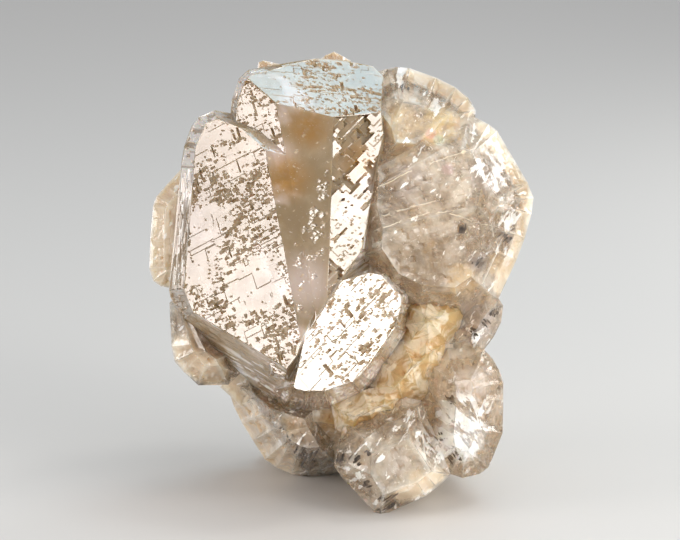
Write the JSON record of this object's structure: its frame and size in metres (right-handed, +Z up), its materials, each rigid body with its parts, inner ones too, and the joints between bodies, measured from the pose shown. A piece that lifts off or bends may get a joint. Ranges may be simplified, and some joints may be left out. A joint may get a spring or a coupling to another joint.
{
  "type": "fluorite crystal",
  "caption": "Cluster of intergrown clear to smoky champagne fluorite crystals with etched parquet faces, standing on a ground base.",
  "frame": {"origin": "centre of the bounding box's bottom, on the flat base that the cluster rests on", "axes": "+Z up from the base, -Y towards the viewer of the show side, +X to that viewer's right"},
  "size_m": [0.054, 0.0402, 0.0603],
  "materials": {
    "smoky_fluorite": "cloudy champagne-brown crystal, glossy, etched with a fine parquet",
    "clear_fluorite": "clear, nearly colourless crystal with inner cleavage cracks, glossy",
    "honey_fluorite": "honey-yellow clear crystal, glossy"
  },
  "bodies": {
    "root": {"fluorite_cluster": "smoky_fluorite"}
  },
  "joints": []
}
